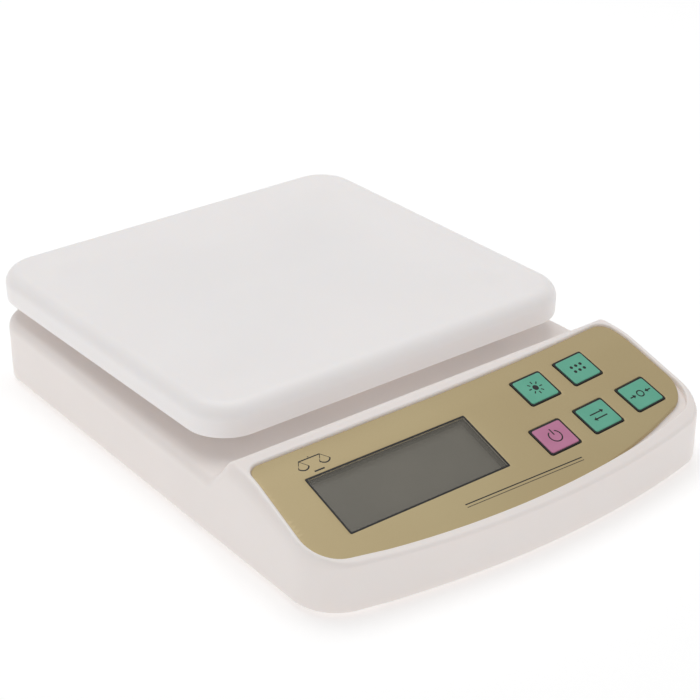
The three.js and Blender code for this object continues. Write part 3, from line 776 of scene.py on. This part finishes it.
# ---- Platform ----
def pad_places():
    """Middles of the four pads that carry the platform."""
    x, y, arm_x, arm_y = PLATFORM["x"], PLATFORM["y"], SPIDER["arm_x"], SPIDER["arm_y"]
    return [(x + sx * arm_x, y + sy * arm_y) for sy in (-1, 1) for sx in (-1, 1)]


def platform():
    x, y, wall = PLATFORM["x"], PLATFORM["y"], PLATFORM["wall"]
    width, depth, radius = PLATFORM["width"], PLATFORM["depth"], PLATFORM["radius"]
    bottom, top = PLATFORM["bottom_z"], PLATFORM["top_z"]
    ceiling = top - wall

    def outline(inset):
        return rounded_box(width - 2 * inset, depth - 2 * inset, radius - inset, x, y, 14, 30)

    skin = Skin()
    draft, edge, lower = PLATFORM["draft"], PLATFORM["edge"], 0.6
    rings = []
    for k in range(4):
        angle = math.pi / 2 * k / 3
        plan = outline(draft + lower * (1 - math.sin(angle)))
        rings.append(skin.ring(plan, bottom + lower * (1 - math.cos(angle))))
    steps = 12
    for k in range(steps + 1):
        angle = math.pi / 2 * k / steps
        rings.append(skin.ring(outline(edge * (1 - math.cos(angle))), top - edge * (1 - math.sin(angle))))
    skin.bridge(*rings)
    skin.fill([rings[-1]], lambda _: top, 6)
    inner = [skin.ring(outline(wall + draft - lower), bottom)]
    inner.append(skin.ring(outline(wall + draft), bottom + lower))
    for k in range(6):
        angle = math.pi / 2 * k / 5
        shift = wall + (edge - wall) * (1 - math.cos(angle))
        inner.append(skin.ring(outline(shift), ceiling - 4 * (1 - math.sin(angle))))
    skin.bridge(rings[0], *inner)
    skin.fill([inner[-1]], lambda _: ceiling, 6)
    piece = mesh_object("platform_tray", skin)
    solids = [
        prism("rib", rounded_box(1.6, depth - 4, 0.4, x, y), ceiling - 4, ceiling + 0.5),
        prism("rib", rounded_box(width - 4, 1.6, 0.4, x, y), ceiling - 4, ceiling + 0.5),
    ]
    for place in pad_places():
        solids.append(prism("boss", circle(PAD["radius"] + 2.3, *place), PAD["top_z"] - 2.2, top - 1))
    boolean(piece, solids, "UNION")
    pockets = [prism("pocket", circle(PAD["radius"] + 0.3, *p), 30, PAD["top_z"] + 0.3) for p in pad_places()]
    boolean(piece, pockets, "DIFFERENCE")
    return finish_piece(piece, "platform", "platform_white", ["weighing_platform"])


# ---- Panel overlay ----
def swept_overlay(inset):
    plan = panel_outline(OVERLAY["gap"] + inset)
    plan[:, 1] += sweep(plan[:, 0])
    return plan


def on_panel(outline, place):
    """Plan points of an outline drawn in a frame on the slope."""
    return np.array([(place @ Vector((x, y, 0)))[:2] for x, y in outline])


def window_plan(margin):
    return on_panel(lcd_outline(-margin, 24), PANEL_FRAME)


def key_plan(key, margin):
    x, y, _ = KEYS[key]
    width, depth = KEY["width"] + 2 * margin, KEY["depth"] + 2 * margin
    return on_panel(rounded_box(width, depth, KEY["radius"] + margin, 0, 0, 6, 10), key_frame(x, y))


def overlay():
    skin = Skin()
    edge = 0.25
    openings = [lambda grow: window_plan(grow)]
    openings += [lambda grow, key=key: key_plan(key, 0.22 + grow) for key in KEYS]
    tops, unders = [], []
    outlines = [lambda grow: swept_overlay(-grow), *openings]
    for i, outline in enumerate(outlines):
        sign = -1 if i == 0 else 1
        rings = []
        for shift, drop in ((edge, 0), (edge * 0.3, edge * 0.3), (0, edge)):
            plan = outline(sign * shift)
            rings.append(skin.ring(plan, panel_z(plan[:, 1]) - drop))
        plan = outline(0)
        rings.append(skin.ring(plan, panel_z(plan[:, 1]) - OVERLAY["thickness"]))
        skin.bridge(*rings)
        tops.append(rings[0])
        unders.append(rings[-1])
    skin.fill(tops, panel_z, 2.0)
    skin.fill(unders, lambda y: panel_z(y) - OVERLAY["thickness"], 4.0)
    piece = mesh_object("overlay_sheet", skin)
    return finish_piece(piece, "case", "overlay_gold", ["panel_overlay"])


# ---- Keys ----
def icon_piece(name, outlines, key, body):
    """Flat printed marks on top of a key, one thin solid for each outline."""
    x, y, _ = KEYS[key]
    skin = Skin()
    for outline in outlines:
        outline = np.array(outline) * ICON_SCALE
        lower, upper = (skin.ring(outline, PAD_ON_KEY["height"] + rise) for rise in (-0.1, 0.03))
        skin.bridge(lower, upper)
        skin.faces += [tuple(lower), tuple(upper)]
    piece = mesh_object(name, skin, key_frame(x, y))
    return finish_piece(piece, body, "black_plastic")


def bar(x0, y0, x1, y1, width=0.42):
    """A stroke from one point to another."""
    along = Vector((x1 - x0, y1 - y0)).normalized()
    across = Vector((-along.y, along.x)) * width / 2
    start, end = Vector((x0, y0)), Vector((x1, y1))
    return [tuple(start - across), tuple(end - across), tuple(end + across), tuple(start + across)]


def arc_stroke(x, y, radius, start, end, width=0.42, steps=22):
    angles = [math.radians(start + (end - start) * k / steps) for k in range(steps + 1)]
    far, near = radius + width / 2, radius - width / 2
    outer = [(x + far * math.cos(a), y + far * math.sin(a)) for a in angles]
    inner = [(x + near * math.cos(a), y + near * math.sin(a)) for a in reversed(angles)]
    return outer + inner


def arrow(x, y, direction, size=1.1):
    return [(x, y - size * 0.7), (x + direction * size, y), (x, y + size * 0.7)]


def icons():
    """Generic pictograms: switch, two-way arrows, arrows to zero, lamp rays, and counted pieces."""
    rays = [Vector((math.cos(math.radians(45 * k)), math.sin(math.radians(45 * k)))) for k in range(8)]
    return {
        "power": [arc_stroke(0, 0, 2.1, 120, 420), bar(0, 0.5, 0, 2.9)],
        "mode": [
            bar(-2.7, 1.0, 1.9, 1.0), arrow(1.7, 1.0, 1),
            bar(-1.9, -1.0, 2.7, -1.0), arrow(-1.7, -1.0, -1),
        ],
        "tare": [
            arc_stroke(0, 0, 1.15, 0, 178), arc_stroke(0, 0, 1.15, 180, 358),
            bar(-4.4, 0, -2.9, 0), arrow(-3.1, 0, 1), bar(4.4, 0, 2.9, 0), arrow(3.1, 0, -1),
        ],
        "light": [circle(1.0, sides=24)] + [bar(*(ray * 1.6), *(ray * 2.6), 0.38) for ray in rays],
        "count": [circle(0.55, 1.9 * i, 1.9 * j - 0.95, 20) for i in (-1, 0, 1) for j in (0, 1)],
    }


def keys():
    marks = icons()
    for key, (x, y, tint) in KEYS.items():
        body = f"key_{key}"
        place = key_frame(x, y)

        def outline(inset):
            width, depth = KEY["width"] - 2 * inset, KEY["depth"] - 2 * inset
            return rounded_box(width, depth, KEY["radius"] - 0.8 * inset)

        cap = soft_prism(f"{key}_cap", outline(0), outline(1), -KEY["skirt"], 0.1, 0.15, place)
        flange = prism("flange", outline(-1), -KEY["skirt"] - KEY["flange"], -KEY["skirt"] + 0.2, place)
        boolean(cap, [flange], "UNION")
        finish_piece(cap, body, "black_plastic", [body])

        def pad_outline(inset):
            around = 2 * (PAD_ON_KEY["border"] + inset)
            width, depth = KEY["width"] - around, KEY["depth"] - around
            return rounded_box(width, depth, 0.9 - 0.8 * inset, PAD_ON_KEY["x"], PAD_ON_KEY["y"], 6, 6)

        height, edge = PAD_ON_KEY["height"], PAD_ON_KEY["edge"]
        pad = soft_prism(f"{key}_pad", pad_outline(0), pad_outline(1), 0, height, edge, place, steps=6)
        finish_piece(pad, body, f"key_{tint}")
        icon_piece(f"{key}_mark", marks[key], key, body)


# ---- Display ----
def lcd_outline(inset, side_points=1):
    width, depth = LCD["width"] - 2 * inset, LCD["depth"] - 2 * inset
    return rounded_box(width, depth, LCD["radius"], LCD["x"], LCD["y"], 4, side_points)


def display():
    lens = soft_prism("display_window", lcd_outline(0.3), lcd_outline(1.3), -1.25, -0.05, 0.08, PANEL_FRAME)
    finish_piece(lens, "case", "lens_clear", ["lcd_lens"])
    border = Skin()
    outer = [border.ring(lcd_outline(0), z) for z in (-0.1, 0.02)]
    inner = [border.ring(lcd_outline(0.6), z) for z in (0.02, -0.1)]
    border.bridge(*outer, *inner, outer[0])
    finish_piece(mesh_object("display_border", border, PANEL_FRAME), "case", "black_plastic")


# ---- Ink marks on the overlay ----
RULE_LENGTH = 54.0
RULE_UP = 5.4  # distance of the rule's left end from the foot of the slope


def ink():
    """Generic printed marks: a small balance above the window and a fine double rule along the front."""
    stand = [bar(-3.6, 2.4, 3.6, 2.4), bar(0, 3.1, 0, -2.8), bar(-1.7, -2.8, 1.7, -2.8, 0.5)]
    pans = [arc_stroke(side * 3.6, 0.6, 1.9, 205, 335) for side in (-1, 1)]
    hooks = [side * 3.6 for side in (-1, 1)]
    cords = [bar(x, 2.4, x + side * 1.7, -0.2, 0.22) for x in hooks for side in (-1, 1)]
    balance = PANEL_FRAME @ Matrix.Translation((LCD["x"] - 28, LCD["y"] + 18.5, 0)) @ Matrix.Scale(1.25, 4)
    rules = [bar(0, 0, RULE_LENGTH, 0, 0.45), bar(0, -1.3, RULE_LENGTH, -1.3, 0.25)]
    start = Matrix.Translation((-RULE_LENGTH / 2, RULE_UP, 0))
    along_front = PANEL_FRAME @ start @ Matrix.Rotation(math.radians(-1.3), 4, "Z")
    skin = Skin()
    for outlines, place in ((stand + pans + cords, balance), (rules, along_front)):
        for outline in outlines:
            plan = on_panel(outline, place)
            rings = [skin.ring(plan, panel_z(plan[:, 1]) + rise) for rise in (-0.2, 0.02)]
            skin.bridge(*rings)
            skin.faces += [tuple(rings[0]), tuple(rings[1])]
    finish_piece(mesh_object("overlay_ink", skin), "case", "black_plastic")


# ---- Feet, pads and screws ----
def feet_and_pads():
    radius, height = FOOT["radius"], FOOT["height"]
    for i, (x, y) in enumerate(FOOT["places"]):
        tread = [(3.0, 0.5), (3.3, 0.15), (3.7, 0.0), (radius - 1.3, 0.0)]
        edge = [(radius - 0.6, 0.25), (radius - 0.15, 0.8), (radius, 1.3)]
        wall = [(radius, height - 0.2), (radius - 0.2, height)]
        piece = turned(f"foot_{i + 1}_rubber", tread + edge + wall, Matrix.Translation((x, y, 0)))
        finish_piece(piece, "case", "rubber_dark", [f"foot_{i + 1}"])
    low, high, pad = PAD["bottom_z"], PAD["top_z"], PAD["radius"]
    for i, (x, y) in enumerate(pad_places()):
        lower = [(pad - 0.3, low), (pad, low + 0.3), (pad, high - 0.9), (pad - 0.25, high - 0.3)]
        upper = [(pad - 0.8, high), (4.2, high), (3.9, high - 0.12), (3.6, high - 0.5)]
        piece = turned(f"pad_{i + 1}_rubber", lower + upper, Matrix.Translation((x, y, 0)))
        finish_piece(piece, "load_bridge", "rubber_dark", [f"platform_pad_{i + 1}"])


def cross_recess(size):
    """Tapered cross-shaped tool for a screw head, from the top of the head at Z = 0 down."""
    half, arm = size * 0.16, size * 0.62
    plan = [(half, half), (half, arm), (-half, arm), (-half, half), (-arm, half), (-arm, -half)]
    plan += [(-half, -half), (-half, -arm), (half, -arm), (half, -half), (arm, -half), (arm, half)]
    skin = Skin()
    levels = ((1.1, -0.3), (1.0, 0.1), (0.55, size * 0.38))
    rings = [skin.ring(np.array(plan) * scale, z) for scale, z in levels]
    skin.bridge(*rings)
    skin.faces += [tuple(rings[0]), tuple(rings[-1])]
    return skin


def screw_piece(node, body, head, shank, length, place):
    """A pan-head screw whose head lies at Z = 0 and whose shank points along +Z."""
    radius, height = head
    crown = [(radius * 0.45, 0.0), (radius * 0.72, 0.08), (radius * 0.92, 0.3), (radius, 0.65)]
    stem = [(radius, height), (shank, height), (shank, length - shank), (shank * 0.35, length)]
    piece = turned(f"{node}_zinc", crown + stem, place, 32)
    boolean(piece, [mesh_object("cross", cross_recess(radius), place)], "DIFFERENCE")
    finish_piece(piece, body, "zinc_steel", [node])


CASE_HEAD = (2.8, 1.5)  # radius and height of the screw heads
CELL_HEAD = (3.2, 2.0)


def screws():
    for i, (x, y) in enumerate(CASE_SCREWS):
        place = Matrix.Translation((x, y, 2.2))
        screw_piece(f"case_screw_{i + 1}", "case", CASE_HEAD, 1.2, 11, place)
    flip = Matrix.Rotation(math.pi, 4, "X")
    for i, x in enumerate(CELL_BOLTS):
        low = Matrix.Translation((-x, PLATFORM["y"], 2.1))
        high = Matrix.Translation((x, PLATFORM["y"], SPIDER["top_z"] + 2.2)) @ flip
        screw_piece(f"cell_base_screw_{i + 1}", "case", CELL_HEAD, 1.8, 14, low)
        screw_piece(f"cell_top_screw_{i + 1}", "load_bridge", CELL_HEAD, 1.8, 22, high)


# ---- Adapter socket and batteries ----
def socket():
    """Black socket block behind the rear wall, with a collar in the wall and a pin in its bore."""
    behind = -WALL - 0.4
    length, collar, bore, pin = JACK["length"], JACK["collar"], JACK["bore"], JACK["pin"]
    outline = rounded_box(JACK["width"], JACK["height"], 0.8)
    inner = rounded_box(JACK["width"] - 2, JACK["height"] - 2, 0.4)
    place = jack_frame()
    block = soft_prism("socket_block", outline, inner, behind - length, behind, 0.4, place, 0.4)
    ring = [(collar, behind - 1), (collar, -0.5), (collar - 0.3, -0.2)]
    hollow = [(bore, behind - length + 3), (bore, -0.6), (bore + 0.45, 0.3)]
    boolean(block, [turned("collar", ring, place)], "UNION")
    boolean(block, [turned("bore", hollow, place)], "DIFFERENCE")
    tip = [(pin, behind - length + 2.5), (pin, behind + 0.5), (pin * 0.45, behind + 1)]
    boolean(block, [turned("pin", tip, place, 24)], "UNION")
    finish_piece(block, "case", "black_plastic", ["power_jack"])


def batteries():
    for number, direction in ((1, 1), (2, -1)):
        y = BATTERY["y"] - direction * BATTERY["pitch"] / 2
        place = Matrix.Translation((0, y, BATTERY["z"])) @ Matrix.Rotation(direction * math.pi / 2, 4, "Y")
        foot = [(6.0, -25.0), (6.5, -25.15), (7.0, -24.95), (7.2, -24.4)]
        shoulder = [(7.2, 23.3), (7.05, 23.9), (6.5, 24.2), (5.8, 24.0)]
        body = turned(f"battery_{number}_sleeve", foot + shoulder, place)
        finish_piece(body, "case", "battery_sleeve", [f"battery_cell_{number}"])
        nub = [(5.7, 23.6), (5.6, 24.1), (3.0, 24.15), (2.75, 24.4), (2.7, 25.1), (2.4, 25.4)]
        finish_piece(turned(f"battery_{number}_cap", nub, place), "case", "zinc_steel")


# ---- Carried-over CAD nodes ----
def soften_node(name, width_mm):
    """Gives a CAD node small rounded edges through modifiers, so its own mesh stays as packed."""
    node = frame["nodes"][name]
    weld = node.modifiers.new("weld", "WELD")
    weld.merge_threshold = 2e-6
    bevel = node.modifiers.new("bevel", "BEVEL")
    bevel.width = width_mm * MM
    bevel.segments = 2
    bevel.limit_method = "ANGLE"
    bevel.angle_limit = math.radians(35)
    weighted = node.modifiers.new("weighted_normals", "WEIGHTED_NORMAL")
    weighted.keep_sharp = True


SOFTENED = {
    "base_plate": 0.35,
    "battery_door": 0.3,
    "platform_spider": 0.4,
    "load_cell": 0.25,
    "cell_top_post": 0.25,
    "cell_base_spacer": 0.1,
    "gauge_cover_top": 0.3,
    "gauge_cover_bottom": 0.3,
    "lcd_frame": 0.12,
    "lcd_glass": 0.15,
    "contact_bridge": 0.1,
    "contact_plus": 0.1,
    "contact_minus": 0.1,
}


def dress_nodes():
    slots = {part["node"]: part["material_slot"] for part in frame["record"]["subparts"]}
    for name, node in frame["nodes"].items():
        for holder in node.material_slots:
            holder.material = MATERIALS[slots[name]]
    for name, width_mm in SOFTENED.items():
        soften_node(name, width_mm)


# ---- Stage ----
STUDIO = {"world": 0.44, "floor_glow": 0.27, "overhead_watts": 8.4, "fill_watts": 0.1}
CAMERA = {
    "place": (-0.39007, -0.50696, 0.36222),
    "azimuth": math.radians(-37.94),
    "elevation": math.radians(27.516),
    "roll": math.radians(-0.118),
    "lens": 95.99,
}


def area_light(name, place, size, power):
    """A square soft light aimed at the origin."""
    data = bpy.data.lights.new(name, "AREA")
    data.size = size
    data.energy = power
    light = bpy.data.objects.new(name, data)
    light.location = place
    light.rotation_euler = (-Vector(place)).to_track_quat("-Z", "Y").to_euler()
    bpy.context.scene.collection.objects.link(light)


def stage():
    floor_look = Look("studio_floor", roughness=0.9)
    floor_look.drift(linear(253, 253, 253), linear(252, 252, 252), 300)
    floor_look.grain(5, 0.8, 0.9)
    floor_look.bump(2, 0.02, 0.2)
    floor_look.shader.inputs["Emission Color"].default_value = (1, 1, 1, 1)
    floor_look.shader.inputs["Emission Strength"].default_value = STUDIO["floor_glow"]
    mesh = bpy.data.meshes.new("floor")
    reach = 6.0
    corners = [(-reach, -reach, 0), (reach, -reach, 0), (reach, reach, 0), (-reach, reach, 0)]
    mesh.from_pydata(corners, [], [(0, 1, 2, 3)])
    floor = bpy.data.objects.new("floor", mesh)
    floor.location.z = -0.0002
    mesh.materials.append(floor_look.material)
    bpy.context.scene.collection.objects.link(floor)

    world = bpy.data.worlds.new("studio")
    world.use_nodes = True
    world.node_tree.nodes["Background"].inputs["Color"].default_value = (1, 1, 1, 1)
    world.node_tree.nodes["Background"].inputs["Strength"].default_value = STUDIO["world"]
    bpy.context.scene.world = world
    bpy.context.scene.view_settings.view_transform = "Standard"
    area_light("overhead", (0.1, 0.3, 1.4), 1.2, STUDIO["overhead_watts"])
    area_light("left_fill", (-1.3, -0.6, 0.8), 0.9, STUDIO["fill_watts"])


def camera():
    azimuth, elevation, roll = CAMERA["azimuth"], CAMERA["elevation"], CAMERA["roll"]
    back = Vector((
        math.sin(azimuth) * math.cos(elevation),
        -math.cos(azimuth) * math.cos(elevation),
        math.sin(elevation),
    ))
    right = Vector((0, 0, 1)).cross(back).normalized()
    above = back.cross(right)
    data = bpy.data.cameras.new("camera")
    data.sensor_width = 36
    data.lens = CAMERA["lens"]
    data.clip_start = 0.01
    view = bpy.data.objects.new("camera", data)
    turned_right = math.cos(roll) * right + math.sin(roll) * above
    turned_above = -math.sin(roll) * right + math.cos(roll) * above
    axes = Matrix((turned_right, turned_above, back)).transposed()
    view.matrix_world = Matrix.Translation(CAMERA["place"]) @ axes.to_4x4()
    bpy.context.scene.collection.objects.link(view)
    bpy.context.scene.camera = view


camera()
stage()
dress_nodes()
housing()
platform()
overlay()
keys()
display()
ink()
feet_and_pads()
screws()
socket()
batteries()
